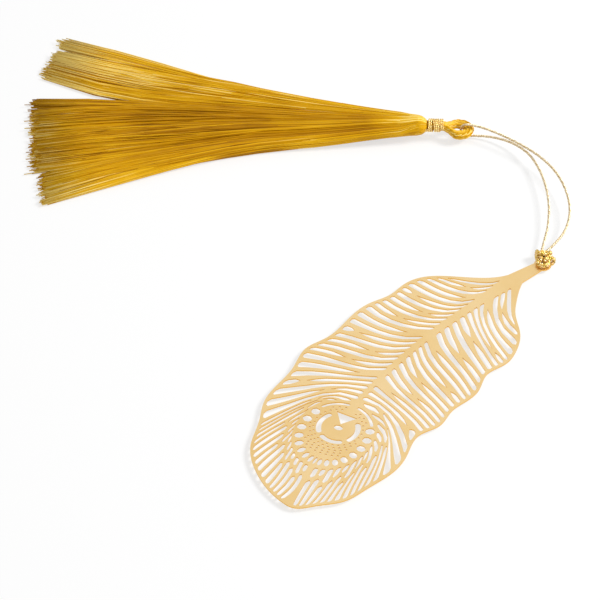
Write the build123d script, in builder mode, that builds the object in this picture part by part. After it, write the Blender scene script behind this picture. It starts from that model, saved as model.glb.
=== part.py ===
"""A bookmark: an etched feather plate, a cord hitched through its quill, and a silk tassel on the cord.

It lies as on a table. The origin is on the plate's underside, half way along it. +Y runs along the feather
to its quill, +X across it and +Z up. Lengths are in millimetres and angles in degrees.
"""
import math
import os
from collections import namedtuple
from itertools import accumulate

from build123d import *
from build123d.topology import SkipClean

# Feather plate
sheet_thickness = 0.4
plate_half_length = 58.5
blade_half_width = 23.0
rim_width = 0.75
shaft_root_width = 4.2
shaft_width = 2.4
shaft_end_width = 1.0
quill_neck_width = 3.2
quill_end_radius = 2.4
quill_hole_radius = 1.3
slot_nose_length = 0.6
slot_taper_length = 5.0
eye_taper_length = 1.0
long_slot = 9.0

# Eye of the feather
eye_lean = 9.0
oval_count = 17
oval_sides = 8
dot_sides = 5

# Cord and hitch
cord_diameter = 0.8
cord_clearance = 0.3
hitch_gap = 0.5
hitch_heading = 30.0
hitch_exit = 4.2
hitch_loop_reach = 3.7
hinge_gap = 0.5

# Tassel
tassel_heading = 214.9
head_length = 8.4
head_width = 7.6
head_height = 3.0
head_wall = 2.6
head_round = 0.85
neck_radius = 1.3
neck_length = 5.4
binding_diameter = 0.5
binding_gap = 0.6
binding_turns = 4
shoulder_radius = 3.0
shoulder_length = 4.4
shoulder_round = 1.6
shoulder_sides = 16
skirt_length = 110.0
skirt_half_width = 40.0
skirt_height = 5.4
lock_gap = 0.3

# Sides of the cord and thread sections, and points measured along a winding
cord_sides = 6
thread_sides = 5
gap_points = 400

# Outline of the blade from the quill to the tip, as shares of the half width and the half length
left_margin_shares = [
    (0.18, 0.80), (0.05, 0.74), (-0.16, 0.68), (-0.37, 0.63), (-0.64, 0.54), (-0.73, 0.46), (-0.76, 0.36),
    (-0.87, 0.26), (-0.92, 0.11), (-0.94, -0.05), (-1.03, -0.16), (-0.96, -0.30), (-0.94, -0.43),
    (-0.90, -0.55), (-0.75, -0.67), (-0.60, -0.81), (-0.31, -0.92), (0.00, -0.98), (0.25, -1.00),
]
right_margin_shares = [
    (0.39, 0.80), (0.43, 0.75), (0.51, 0.68), (0.63, 0.60), (0.87, 0.50), (0.98, 0.40), (1.00, 0.31),
    (0.92, 0.20), (0.99, 0.09), (0.98, 0.01), (0.93, -0.09), (0.95, -0.20), (0.85, -0.30), (0.92, -0.44),
    (0.94, -0.57), (0.86, -0.70), (0.76, -0.83), (0.54, -0.93), (0.39, -0.99), (0.25, -1.00),
]
shaft_line_shares = [(0.25, 0.75), (0.13, 0.52), (0.02, 0.27), (-0.03, 0.05), (-0.03, -0.32)]
quill_end_share = 0.41
eye_centre_shares = (0.05, -0.52)

# Guide barbs: root, two points passed on the way and the end on the rim, then the open part of the pitch.
# A root is a share of the shaft from quill to eye, or of the half turn round the eye from tip to shaft.
left_shaft_guide_shares = [
    (0.00, (0.075, 0.715), (-0.08, 0.675), 0.115, 0.62),
    (0.20, (-0.11, 0.47), (-0.40, 0.45), 0.23, 0.66),
    (0.41, (-0.28, 0.26), (-0.57, 0.24), 0.32, 0.61),
    (0.56, (-0.31, 0.08), (-0.61, 0.05), 0.43, 0.61),
    (0.73, (-0.35, -0.10), (-0.67, -0.13), 0.52, 0.64),
    (0.87, (-0.39, -0.25), (-0.64, -0.33), 0.64, 0.66),
    (0.98, (-0.38, -0.35), (-0.58, -0.49), 0.75, 0.66),
]
left_eye_guide_shares = [
    (0.75, (-0.46, -0.44), (-0.58, -0.59), 0.78, 0.62),
    (0.53, (-0.48, -0.61), (-0.54, -0.70), 0.82, 0.66),
    (0.38, (-0.33, -0.71), (-0.35, -0.80), 0.88, 0.68),
    (0.21, (-0.13, -0.79), (-0.09, -0.87), 0.94, 0.68),
    (0.01, (0.18, -0.83), (0.22, -0.90), 0.99, 0.70),
]
left_slot_counts = (5, 5, 4, 4, 4, 3, 2, 2, 3, 3, 4)
right_shaft_guide_shares = [
    (0.00, (0.45, 0.68), (0.56, 0.615), 0.12, 0.58),
    (0.07, (0.37, 0.61), (0.54, 0.53), 0.19, 0.66),
    (0.15, (0.36, 0.50), (0.62, 0.42), 0.26, 0.68),
    (0.27, (0.42, 0.38), (0.69, 0.31), 0.31, 0.66),
    (0.36, (0.37, 0.28), (0.64, 0.22), 0.35, 0.63),
    (0.46, (0.29, 0.19), (0.58, 0.14), 0.41, 0.60),
    (0.61, (0.30, 0.01), (0.60, -0.04), 0.48, 0.60),
    (0.76, (0.29, -0.12), (0.58, -0.15), 0.54, 0.60),
    (0.89, (0.27, -0.22), (0.58, -0.25), 0.59, 0.62),
    (0.97, (0.32, -0.28), (0.61, -0.35), 0.67, 0.64),
]
right_eye_guide_shares = [
    (0.73, (0.57, -0.39), (0.74, -0.50), 0.76, 0.62),
    (0.58, (0.64, -0.50), (0.74, -0.61), 0.81, 0.64),
    (0.37, (0.58, -0.69), (0.62, -0.79), 0.89, 0.68),
    (0.19, (0.44, -0.78), (0.47, -0.86), 0.94, 0.68),
    (0.02, (0.22, -0.83), (0.26, -0.90), 0.985, 0.70),
]
right_slot_counts = (2, 2, 3, 2, 2, 4, 3, 3, 2, 2, 2, 4, 3, 3)

# Open spans of the slots from root to rim, used in turn beside the shaft and beside the eye
shaft_span_shares = [
    [(0.00, 1.00)],
    [(0.00, 0.50), (0.56, 1.00)],
    [(0.00, 1.00)],
    [(0.24, 1.00)],
    [(0.00, 1.00)],
    [(0.00, 0.76), (0.82, 1.00)],
    [(0.00, 1.00)],
    [(0.00, 0.36), (0.42, 1.00)],
]
eye_span_shares = [
    [(0.00, 0.26), (0.33, 1.00)],
    [(0.00, 0.38), (0.45, 1.00)],
    [(0.00, 0.20), (0.27, 1.00)],
]
long_slot_step_shares = (0.2, 0.4, 0.6, 0.8)
short_slot_step_shares = (0.5,)
nose_width_share = 0.5
nose_length_share = 0.3
taper_width_share = 0.62
taper_length_share = 0.45

# Sizes of the eye: its halves from those of the blade, its parts from the smaller half
eye_width_share = 0.465
eye_length_share = 0.2325
eye_round_share = 0.79
oval_ring_share = 0.83
barb_ring_share = 1.0
oval_spread_share = 0.64
oval_crowding_share = 1.25
oval_length_share = 0.25
oval_fill_share = 0.72
pupil_offset_share = 0.16
pupil_radius_share = 0.49
pupil_slot_width_share = 0.135
pupil_slot_shares = [(-0.70, -0.28), (-0.15, 0.17), (0.33, 0.71)]
pupil_lens_shares = (0.24, 0.18)
pupil_notch_shares = (0.56, 0.36)
dot_size_share = 0.058
dot_pitch_share = 0.145
dot_row_pitch_share = 0.088
dot_stretch_shares = [
    [(-0.94, 0.94)],
    [(-0.94, -0.72), (-0.42, 0.42), (0.72, 0.94)],
    [(-0.26, 0.26)],
    [(-0.22, 0.22)],
    [(-0.17, 0.17)],
]
eye_arc_shares = [(-0.95, -0.70), (0.68, 0.94)]
eye_arc_radius_share = 0.83
eye_arc_width_share = 0.085

# Route of the cord loop: along the inner strand, through the tassel's eye and back along the outer strand.
# The first and last points are on the hitch, and those in the tassel's eye are worked out below.
inner_strand = [
    (4.9, 63.6, 1.2), (2.7, 69.0, 1.6), (-2.7, 77.6, 1.9), (-9.9, 85.2, 1.9), (-16.9, 90.2, 1.8),
    (-21.9, 92.0, 1.5), (-26.8, 92.5, 1.1), (-31.6, 91.9, 0.5), (-35.6, 90.4, 0.0),
]
outer_strand = [
    (-35.6, 90.1, 3.9), (-31.2, 91.1, 3.5), (-26.1, 91.5, 3.3), (-20.0, 91.3, 3.2), (-13.6, 90.3, 3.1),
    (-7.1, 87.8, 3.0), (-1.0, 83.6, 2.6), (4.2, 78.0, 2.2), (7.4, 71.4, 1.7), (8.2, 65.2, 1.3),
]
cord_radius_share = 0.45
tassel_eye = (-39.7, 87.9)

crown_flat_share = 0.28
binding_apart_share = 0.75

# Skirt locks: station along the skirt, far and near edges, height and the crown's part of the height
far_lock_shares = [
    (0.00, -0.075, -0.038, 0.88, 0.09),
    (0.18, -0.240, -0.110, 0.85, 0.22),
    (0.43, -0.460, -0.200, 0.74, 0.32),
    (0.78, -0.820, -0.315, 0.52, 0.40),
    (0.98, -1.000, -0.560, 0.33, 0.40),
]
middle_lock_shares = [
    (0.00, -0.038, 0.038, 1.00, 0.16),
    (0.18, -0.110, 0.080, 0.95, 0.22),
    (0.43, -0.200, 0.130, 0.82, 0.32),
    (0.78, -0.315, 0.350, 0.56, 0.40),
    (0.99, -0.300, 0.480, 0.35, 0.40),
]
near_lock_shares = [
    (0.00, 0.038, 0.075, 0.88, 0.09),
    (0.18, 0.080, 0.150, 0.85, 0.22),
    (0.43, 0.130, 0.225, 0.74, 0.30),
    (0.78, 0.350, 0.620, 0.50, 0.40),
    (0.95, 0.500, 0.830, 0.32, 0.40),
]


# Places on the plate
def on_plate(share):
    """A place from its shares of the plate's half width and half length."""
    return Vector(share[0] * blade_half_width, share[1] * plate_half_length)


def spline_edge(shares):
    """A smooth edge through places on the plate."""
    with BuildLine() as line:
        Spline(*[on_plate(share) for share in shares])
    return line.edge()


left_margin = spline_edge(left_margin_shares)
right_margin = spline_edge(right_margin_shares)
shaft_line = spline_edge(shaft_line_shares)
quill_hole = Vector(quill_end_share * blade_half_width, plate_half_length - quill_end_radius)
eye_centre = on_plate(eye_centre_shares)
eye_half_width = eye_width_share * blade_half_width
eye_half_length = eye_length_share * plate_half_length
eye_size = min(eye_half_width, eye_round_share * eye_half_length)


def beside(edge, share, distance):
    """A place beside an edge that runs from quill to tip. A distance above zero is towards +X."""
    along = edge.tangent_at(share)
    return edge.position_at(share) + Vector(-along.Y, along.X) * distance


def shaft_half_width(share):
    """The shaft narrows fast from the quill, then evenly to the eye."""
    bend_share = 0.2
    if share < bend_share:
        width = shaft_root_width + (shaft_width - shaft_root_width) * share / bend_share
    else:
        width = shaft_width + (shaft_end_width - shaft_width) * (share - bend_share) / (1 - bend_share)
    return width / 2


def in_eye(across, along):
    """A place from its distances across the eye's axis and along it towards the tip."""
    lean = math.radians(eye_lean)
    return eye_centre + Vector(
        across * math.cos(lean) + along * math.sin(lean),
        across * math.sin(lean) - along * math.cos(lean),
    )


def round_eye(ring_share, turn_share):
    """A place on a ring of the eye, at a share of a half turn from the tip. Above zero it is towards +X."""
    turn = math.pi * turn_share
    return in_eye(
        ring_share * eye_half_width * math.sin(turn), ring_share * eye_half_length * math.cos(turn)
    )


def round_pupil(radius, turn_share):
    """A place on a circle round the pupil."""
    turn = math.pi * turn_share
    return in_eye(radius * math.sin(turn), radius * math.cos(turn) - pupil_offset_share * eye_half_length)


# Barb lines and the slots between them
Guide = namedtuple("Guide", "by_eye root_share near far rim_share open_share")
Half = namedtuple("Half", "side margin guides counts")


def feather_half(side, margin, shaft_rows, eye_rows, counts):
    """One half of the feather: its margin, its guide barbs and the number of slots between them."""
    guides = [Guide(False, *row) for row in shaft_rows] + [Guide(True, *row) for row in eye_rows]
    return Half(side, margin, guides, counts)


def between(first, last, share):
    return first + (last - first) * share


def cubic_through(first, second, third, last):
    """Control points of the cubic that passes its four points at even steps."""
    return (
        first,
        (first * -5 + second * 18 - third * 9 + last * 2) / 6,
        (first * 2 - second * 9 + third * 18 - last * 5) / 6,
        last,
    )


def barb_root(side, by_eye, share):
    """The root of a barb, on the ring round the eye or beside the shaft."""
    if by_eye:
        return round_eye(barb_ring_share, side * share)
    return beside(shaft_line, share, side * shaft_half_width(share))


def barb_at(half, place):
    """The cubic at a place in a row of barbs, counted in slots from the quill, and its open share."""
    ends = list(accumulate(half.counts, initial=0))
    span = next((i for i in range(len(half.counts)) if place <= ends[i + 1]), len(half.counts) - 1)
    share = (place - ends[span]) / half.counts[span]
    low, high = half.guides[span], half.guides[span + 1]
    if low.by_eye == high.by_eye:
        root = barb_root(half.side, low.by_eye, between(low.root_share, high.root_share, share))
    else:
        shaft_root = barb_root(half.side, False, low.root_share)
        root = between(shaft_root, barb_root(half.side, True, high.root_share), share)
    near = between(on_plate(low.near), on_plate(high.near), share)
    far = between(on_plate(low.far), on_plate(high.far), share)
    rim = beside(half.margin, between(low.rim_share, high.rim_share, share), -half.side * rim_width)
    return cubic_through(root, near, far, rim), between(low.open_share, high.open_share, share)


def cubic_point(cubic, share):
    """The point of a cubic at a share, by repeated division."""
    points = list(cubic)
    while len(points) > 1:
        points = [between(a, b, share) for a, b in zip(points, points[1:])]
    return points[0]


def slot_stations(start, end, length, taper_length):
    """Shares along a barb and the slot's width there: blunt at the root and the rim, drawn out elsewhere."""
    nose = min(slot_nose_length / length, nose_length_share * (end - start))
    taper = min(taper_length / length, taper_length_share * (end - start))
    blunt = [(0, nose_width_share), (nose, 1)]
    drawn = [(0, 0), (taper / 2, taper_width_share), (taper, 1)]
    root = blunt if start == 0 else drawn
    tip = blunt if end == 1 else drawn
    is_long = length * (end - start) > long_slot
    steps = long_slot_step_shares if is_long else short_slot_step_shares
    first, last = start + root[-1][0], end - tip[-1][0]
    stations = [(start + reach, width) for reach, width in root]
    stations += [(between(first, last, step), 1) for step in steps]
    stations += [(end - reach, width) for reach, width in reversed(tip)]
    return stations


def barb_slot(half, place, span, taper_length):
    """The closed outline of one slot, with a barb line on each side."""
    middle, open_share = barb_at(half, place)
    low_side, high_side = [], []
    for along, width in slot_stations(*span, (middle[3] - middle[0]).length, taper_length):
        reach = open_share * width / 2
        low_side.append(cubic_point(barb_at(half, place - reach)[0], along))
        if reach > 0:
            high_side.append(cubic_point(barb_at(half, place + reach)[0], along))
    with BuildLine() as outline:
        Polyline(*low_side, *reversed(high_side), close=True)
    return outline.wire()


def barb_slots(half):
    """All the slots of one half of the feather."""
    shaft_guides = [guide for guide in half.guides if not guide.by_eye]
    shaft_slot_count = sum(half.counts[: len(shaft_guides) - 1])
    slots = []
    for index in range(sum(half.counts)):
        by_shaft = index < shaft_slot_count
        table = shaft_span_shares if by_shaft else eye_span_shares
        taper_length = slot_taper_length if by_shaft else eye_taper_length
        for span in table[index % len(table)]:
            slots.append(barb_slot(half, index + 0.5, span, taper_length))
    return slots


# Openings of the eye
def oval(centre, along, length, width):
    """A many-sided oval, long in one direction."""
    ahead = along.normalized()
    aside = Vector(-ahead.Y, ahead.X)
    corners = []
    for index in range(oval_sides):
        turn = 2 * math.pi * index / oval_sides
        corners.append(centre + ahead * math.cos(turn) * length / 2 + aside * math.sin(turn) * width / 2)
    with BuildLine() as outline:
        Polyline(*corners, close=True)
    return outline.wire()


def dot(centre, size):
    """A small many-sided hole."""
    corners = []
    for index in range(dot_sides):
        turn = 2 * math.pi * index / dot_sides
        corners.append(centre + Vector(math.cos(turn), math.sin(turn)) * size / 2)
    with BuildLine() as outline:
        Polyline(*corners, close=True)
    return outline.wire()


def oval_turn(step):
    """The turn of an oval from its step along the ring, closer together towards the tip."""
    return math.copysign(oval_spread_share * abs(step) ** oval_crowding_share, step)


def eye_ovals():
    """A ring of ovals round the tip side of the eye, narrower towards the tip."""
    ovals = []
    for index in range(oval_count):
        step = 2 * index / (oval_count - 1) - 1
        half_step = 1 / (oval_count - 1)
        before = round_eye(oval_ring_share, oval_turn(step - half_step))
        after = round_eye(oval_ring_share, oval_turn(step + half_step))
        centre = round_eye(oval_ring_share, oval_turn(step))
        width = oval_fill_share * (after - before).length
        ovals.append(oval(centre, centre - eye_centre, oval_length_share * eye_size, width))
    return ovals


def arc_slot(radius, width, span):
    """A round-ended slot along a circle round the pupil."""
    start, end = span
    middle = (start + end) / 2
    with BuildLine() as arc:
        ThreePointArc(round_pupil(radius, start), round_pupil(radius, middle), round_pupil(radius, end))
    with BuildSketch() as slot:
        SlotArc(arc.edge(), width)
    return slot.face().outer_wire()


def eye_arcs():
    """Curved slots: three round the pupil and one on each side of the shaft's end."""
    pupil_radius = pupil_radius_share * eye_size
    pupil_width = pupil_slot_width_share * eye_size
    slots = [arc_slot(pupil_radius, pupil_width, span) for span in pupil_slot_shares]
    outer_radius = eye_arc_radius_share * eye_size
    outer_width = eye_arc_width_share * eye_size
    return slots + [arc_slot(outer_radius, outer_width, span) for span in eye_arc_shares]


def pupil_lens():
    """The small oval in the middle of the pupil."""
    centre = round_pupil(0, 0)
    length, width = [share * eye_size for share in pupil_lens_shares]
    return oval(centre, round_pupil(eye_size, 0.5) - centre, length, width)


def pupil_notch():
    """The notch that the shaft points at."""
    width, depth = [share * eye_size for share in pupil_notch_shares]
    top = -pupil_offset_share * eye_half_length - pupil_radius_share * eye_size
    with BuildLine() as outline:
        Polyline(in_eye(-width / 2, top), in_eye(0, top + depth), in_eye(width / 2, top), close=True)
    return outline.wire()


def eye_dots():
    """Rows of small holes round the pupil, with more rows in the crescent on the tip side."""
    dots = []
    dot_size = dot_size_share * eye_size
    inner_radius = (pupil_radius_share + pupil_slot_width_share / 2) * eye_size - dot_size / 2
    for row, stretches in enumerate(dot_stretch_shares, start=1):
        radius = inner_radius + dot_row_pitch_share * eye_size * row
        for start, end in stretches:
            count = round(math.pi * radius * (end - start) / (dot_pitch_share * eye_size))
            for index in range(count):
                turn_share = start + (end - start) * (index + 0.5 * (row % 2)) / count
                dots.append(dot(round_pupil(radius, turn_share), dot_size))
    return dots


# Feather plate: the slotted blade, then the quill with its hole, joined at the blade's root
with BuildLine() as blade_outline:
    Spline(*[on_plate(share) for share in left_margin_shares])
    Spline(*[on_plate(share) for share in reversed(right_margin_shares)])
    Line(on_plate(right_margin_shares[0]), on_plate(left_margin_shares[0]))

left_half = feather_half(
    -1, left_margin, left_shaft_guide_shares, left_eye_guide_shares, left_slot_counts
)
right_half = feather_half(
    1, right_margin, right_shaft_guide_shares, right_eye_guide_shares, right_slot_counts
)
openings = barb_slots(left_half) + barb_slots(right_half)
openings += eye_ovals() + eye_arcs() + [pupil_lens(), pupil_notch()] + eye_dots()
blade_face = Face(blade_outline.wire(), openings)

quill_left = on_plate(left_margin_shares[0])
quill_right = on_plate(right_margin_shares[0])
quill_along = (quill_hole - (quill_left + quill_right) / 2).normalized()
quill_across = Vector(quill_along.Y, -quill_along.X)
with BuildPart() as feather_plate:
    extrude(blade_face, amount=sheet_thickness)
    with BuildSketch() as quill:
        with BuildLine():
            Polyline(
                quill_right,
                quill_hole + quill_across * quill_neck_width / 2,
                quill_hole - quill_across * quill_neck_width / 2,
                quill_left,
                close=True,
            )
        make_face()
        with Locations(quill_hole):
            Circle(quill_end_radius)
            Circle(quill_hole_radius, mode=Mode.SUBTRACT)
    with SkipClean():
        extrude(amount=sheet_thickness, clean=False)
feather_plate.part.label = "feather_plate"


# Paths of arcs for wound cord
def biarc(start, start_along, end, end_along):
    """The two tangent arcs that join two places with given directions, as (start, end, direction) rows."""
    span = end - start
    both = start_along + end_along
    spread = 2 * (1 - start_along.dot(end_along))
    pull = span.dot(both)
    if spread < 1e-9:
        reach = span.dot(span) / (2 * pull)
    else:
        reach = (math.sqrt(pull * pull + spread * span.dot(span)) - pull) / spread
    first = start + start_along * reach
    second = end - end_along * reach
    joint = (first + second) / 2
    return [(start, joint, start_along), (joint, end, (second - first).normalized())]


def wound_path(stations):
    """A path of tangent arcs and straight runs through stations, each a place and a direction."""
    with BuildLine() as path:
        for (start, start_along), (end, end_along) in zip(stations, stations[1:]):
            if (end - start).normalized().dot(start_along) > 1 - 1e-9:
                Line(start, end)
                continue
            for arc_start, arc_end, along in biarc(start, start_along, end, end_along):
                TangentArc(arc_start, arc_end, tangent=along)
    return path.wire()


def least_gap(path, diameter, turn_length):
    """The least gap of a wound tube to itself, measured on points at least most of a turn apart."""
    points = [path.position_at(i / gap_points) for i in range(gap_points + 1)]
    apart = math.ceil(turn_length * gap_points / path.length)
    nearest = min(
        (points[j] - points[i]).length for i in range(gap_points) for j in range(i + apart, gap_points + 1)
    )
    return nearest - diameter


def print_tube(name, part, path, diameter, sides):
    """The tube's volume beside its section times its length."""
    section = sides / 2 * (diameter / 2) ** 2 * math.sin(2 * math.pi / sides)
    by_length = section * path.length
    print(f"{name}: length {path.length:.1f}, volume {part.volume:.2f}, by length {by_length:.2f}")


# Hitch: a lark's head through the quill hole and round the quill's end
exit_turn = math.radians(hitch_heading)
outward = Vector(-math.sin(exit_turn), math.cos(exit_turn))
sideways = Vector(math.cos(exit_turn), math.sin(exit_turn))
upward = Vector(0, 0, 1)
tail_side = (cord_diameter + hitch_gap) / 2
loop_side = tail_side + cord_diameter + hitch_gap
tail_level = sheet_thickness + cord_clearance + cord_diameter / 2
under_level = -cord_clearance - cord_diameter / 2
over_level = tail_level + cord_diameter + hitch_gap
hole_turn = (tail_level - under_level) / 2
table_level = under_level - cord_diameter / 2


def at_hitch(out, side, level):
    return quill_hole + outward * out + sideways * side + upward * level


def hitch_direction(out, side, level):
    return (outward * out + sideways * side + upward * level).normalized()


hole_leg = quill_hole_radius - cord_diameter - cord_clearance
hitch_half = [
    (at_hitch(hitch_exit, -tail_side, tail_level), hitch_direction(-1, 0, 0)),
    (at_hitch(hole_leg + hole_turn, -tail_side, tail_level), hitch_direction(-1, 0, 0)),
    (at_hitch(hole_leg, -tail_side, sheet_thickness / 2), hitch_direction(0, 0, -1)),
    (at_hitch(hole_leg + hole_turn, -(tail_side + loop_side) / 2, under_level), hitch_direction(3, -2, 0)),
    (at_hitch(hitch_loop_reach, -loop_side, (under_level + over_level) / 2), hitch_direction(0, 0, 1)),
    (at_hitch(quill_end_radius, -tail_side * 2, over_level), hitch_direction(-2, 3, 0)),
    (at_hitch(quill_end_radius - tail_side, 0, over_level), hitch_direction(0, 1, 0)),
]


def mirrored(station):
    """The same station on the other half of the hitch, passed the other way."""
    place, along = station
    side = (place - quill_hole).dot(sideways)
    along_side = along.dot(sideways)
    return place - sideways * 2 * side, sideways * 2 * along_side - along


hitch_path = wound_path(hitch_half + [mirrored(station) for station in reversed(hitch_half[:-1])])
with BuildPart() as quill_hitch:
    with BuildLine():
        add(hitch_path)
    with BuildSketch(Plane(origin=hitch_path @ 0, z_dir=hitch_path % 0)):
        RegularPolygon(cord_diameter / 2, cord_sides)
    sweep()
quill_hitch.part.label = "quill_hitch"
print_tube("quill_hitch", quill_hitch.part, hitch_path, cord_diameter, cord_sides)
print(f"quill_hitch: least gap to itself {least_gap(hitch_path, cord_diameter, 4 * cord_diameter):.2f}")

# Cord loop: from the hitch along the inner strand, through the tassel's eye and back along the outer strand
head_level = table_level + shoulder_radius
eye_low = head_level - head_height / 2 - cord_clearance - cord_diameter / 2
eye_high = head_level + head_height / 2 + cord_clearance + cord_diameter / 2
loop_start = hitch_exit + 2 * hinge_gap
cord_route = [
    at_hitch(loop_start, -tail_side, tail_level),
    *[Vector(*point) for point in inner_strand],
    Vector(*tassel_eye, eye_low),
    Vector(*tassel_eye, eye_high),
    *[Vector(*point) for point in outer_strand],
    at_hitch(loop_start, tail_side, tail_level),
]


def bend_radii(route):
    """Arcs as large as the runs beside each point allow."""
    radii = []
    for before, point, after in zip(route, route[1:], route[2:]):
        turn = math.radians((point - before).get_angle(after - point))
        run = min((point - before).length, (after - point).length)
        radii.append(cord_radius_share * run / math.tan(turn / 2))
    return radii


cord_radii = bend_radii(cord_route)
print("cord_loop: bend radii", [round(radius, 1) for radius in cord_radii])
with BuildPart() as cord_loop:
    with BuildLine():
        cord_path = FilletPolyline(*cord_route, radius=cord_radii)
    with BuildSketch(Plane(origin=cord_path @ 0, z_dir=cord_path % 0)):
        RegularPolygon(cord_diameter / 2, cord_sides)
    sweep()
cord_loop.part.label = "cord_loop"
print_tube("cord_loop", cord_loop.part, cord_path, cord_diameter, cord_sides)

# Tassel: its own plane has X along the tassel from the cord in its eye, and Z up
heading = math.radians(tassel_heading)
tassel_plane = Plane(
    origin=(*tassel_eye, head_level), x_dir=(math.cos(heading), math.sin(heading), 0), z_dir=(0, 0, 1)
)
head_start = -head_wall - cord_clearance - cord_diameter / 2
head_end = head_start + head_length
shoulder_start = head_end + neck_length
skirt_start = shoulder_start + shoulder_length


def across_tassel(station):
    """The plane across the tassel at a station along it, facing its end."""
    side = Plane(origin=tassel_plane.from_local_coords(Vector(station, 0, 0)), x_dir=tassel_plane.y_dir,
                 z_dir=tassel_plane.x_dir)
    return side


# Head: the yarn's fold as a rounded eye, the neck under the binding and the full shoulder
with BuildPart() as tassel_head:
    with BuildSketch(tassel_plane.offset(-head_height / 2)):
        with Locations(((head_start + head_end) / 2, 0)):
            SlotOverall(head_length, head_width)
            SlotOverall(head_length - 2 * head_wall, head_width - 2 * head_wall, mode=Mode.SUBTRACT)
    extrude(amount=head_height)
    chamfer(tassel_head.edges().filter_by(Plane.XY), length=head_round)
    with BuildSketch(across_tassel(head_end - head_wall / 2)):
        Circle(neck_radius)
    extrude(amount=neck_length + head_wall / 2)
    with BuildSketch(across_tassel(shoulder_start)):
        RegularPolygon(shoulder_radius - shoulder_round, shoulder_sides)
    with BuildSketch(across_tassel(shoulder_start + shoulder_round)):
        RegularPolygon(shoulder_radius, shoulder_sides)
    with BuildSketch(across_tassel(skirt_start)):
        RegularPolygon(shoulder_radius, shoulder_sides)
    loft(ruled=True)
tassel_head.part.label = "tassel_head"

# Binding: one thread wound round the neck
binding_radius = neck_radius + binding_diameter
binding_pitch = binding_diameter + binding_gap
binding_start = (head_end + shoulder_start - binding_pitch * binding_turns) / 2
half_turns = 2 * binding_turns
climb = binding_pitch / (2 * math.pi)


def binding_station(half_turn):
    """Place and direction on the winding after a number of half turns."""
    turn = math.pi * half_turn
    place = Vector(
        binding_start + climb * turn, binding_radius * math.cos(turn), binding_radius * math.sin(turn)
    )
    along = Vector(climb, -binding_radius * math.sin(turn), binding_radius * math.cos(turn)).normalized()
    origin = tassel_plane.origin
    return tassel_plane.from_local_coords(place), tassel_plane.from_local_coords(along) - origin


binding_stations = [binding_station(half_turn) for half_turn in range(half_turns + 1)]
first_place, first_along = binding_stations[0]
last_place, last_along = binding_stations[-1]
binding_path = wound_path(
    [(first_place - first_along * binding_diameter, first_along)]
    + binding_stations
    + [(last_place + last_along * binding_diameter, last_along)]
)
with BuildPart() as neck_binding:
    with BuildLine():
        add(binding_path)
    with BuildSketch(Plane(origin=binding_path @ 0, z_dir=binding_path % 0)):
        RegularPolygon(binding_diameter / 2, thread_sides)
    sweep()
neck_binding.part.label = "neck_binding"
print_tube("neck_binding", neck_binding.part, binding_path, binding_diameter, thread_sides)
binding_apart = binding_apart_share * 2 * math.pi * binding_radius
print(f"neck_binding: least gap to itself {least_gap(binding_path, binding_diameter, binding_apart):.2f}")


# Skirt: locks of yarn that lie on the table, each lofted through sections with a flat base and a crown
def skirt_lock(name, rows):
    with BuildPart() as lock:
        for station_share, far_share, near_share, height_share, crown_share in rows:
            far_edge = far_share * skirt_half_width + lock_gap / 2
            near_edge = near_share * skirt_half_width - lock_gap / 2
            base = table_level - head_level
            top = base + height_share * skirt_height
            side = top - crown_share * height_share * skirt_height
            with BuildSketch(across_tassel(skirt_start + station_share * skirt_length)):
                with BuildLine():
                    Polyline(
                        (far_edge, base),
                        (near_edge, base),
                        (near_edge, side),
                        (between(near_edge, far_edge, crown_flat_share), top),
                        (between(far_edge, near_edge, crown_flat_share), top),
                        (far_edge, side),
                        close=True,
                    )
                make_face()
        loft(ruled=True)
    lock.part.label = name
    return lock.part


skirt_far_lock = skirt_lock("skirt_far_lock", far_lock_shares)
skirt_middle_lock = skirt_lock("skirt_middle_lock", middle_lock_shares)
skirt_near_lock = skirt_lock("skirt_near_lock", near_lock_shares)

os.makedirs("parts", exist_ok=True)
for piece in (feather_plate, quill_hitch, cord_loop, tassel_head, neck_binding):
    export_step(piece.part, f"parts/{piece.part.label}.step")
for lock in (skirt_far_lock, skirt_middle_lock, skirt_near_lock):
    export_step(lock, f"parts/{lock.label}.step")
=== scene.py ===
"""The bookmark as a finished object: gold feather plate, twisted metallic cord and a silk tassel."""
import math
import random

import bpy
import numpy as np
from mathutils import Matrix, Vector


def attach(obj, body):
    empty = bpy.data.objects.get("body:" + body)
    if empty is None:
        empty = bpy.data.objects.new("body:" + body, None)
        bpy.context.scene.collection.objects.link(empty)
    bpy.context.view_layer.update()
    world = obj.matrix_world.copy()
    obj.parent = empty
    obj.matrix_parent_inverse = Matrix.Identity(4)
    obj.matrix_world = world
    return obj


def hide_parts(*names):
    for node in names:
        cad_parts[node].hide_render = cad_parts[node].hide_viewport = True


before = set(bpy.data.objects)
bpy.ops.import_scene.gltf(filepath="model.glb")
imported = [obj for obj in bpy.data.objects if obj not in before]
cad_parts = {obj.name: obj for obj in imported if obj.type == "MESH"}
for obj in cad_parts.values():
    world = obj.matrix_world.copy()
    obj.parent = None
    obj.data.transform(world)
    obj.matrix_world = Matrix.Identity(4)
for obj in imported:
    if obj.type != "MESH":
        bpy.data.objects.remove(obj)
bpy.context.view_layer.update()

SEED = 11
SHIMMER_SEED = 12
random.seed(SEED)
rng = np.random.default_rng(SEED)
shimmer_rng = np.random.default_rng(SHIMMER_SEED)

MM = 0.001
UP = np.array([0.0, 0.0, 1.0])
SIDEWAYS = np.array([1.0, 0.0, 0.0])

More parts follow.
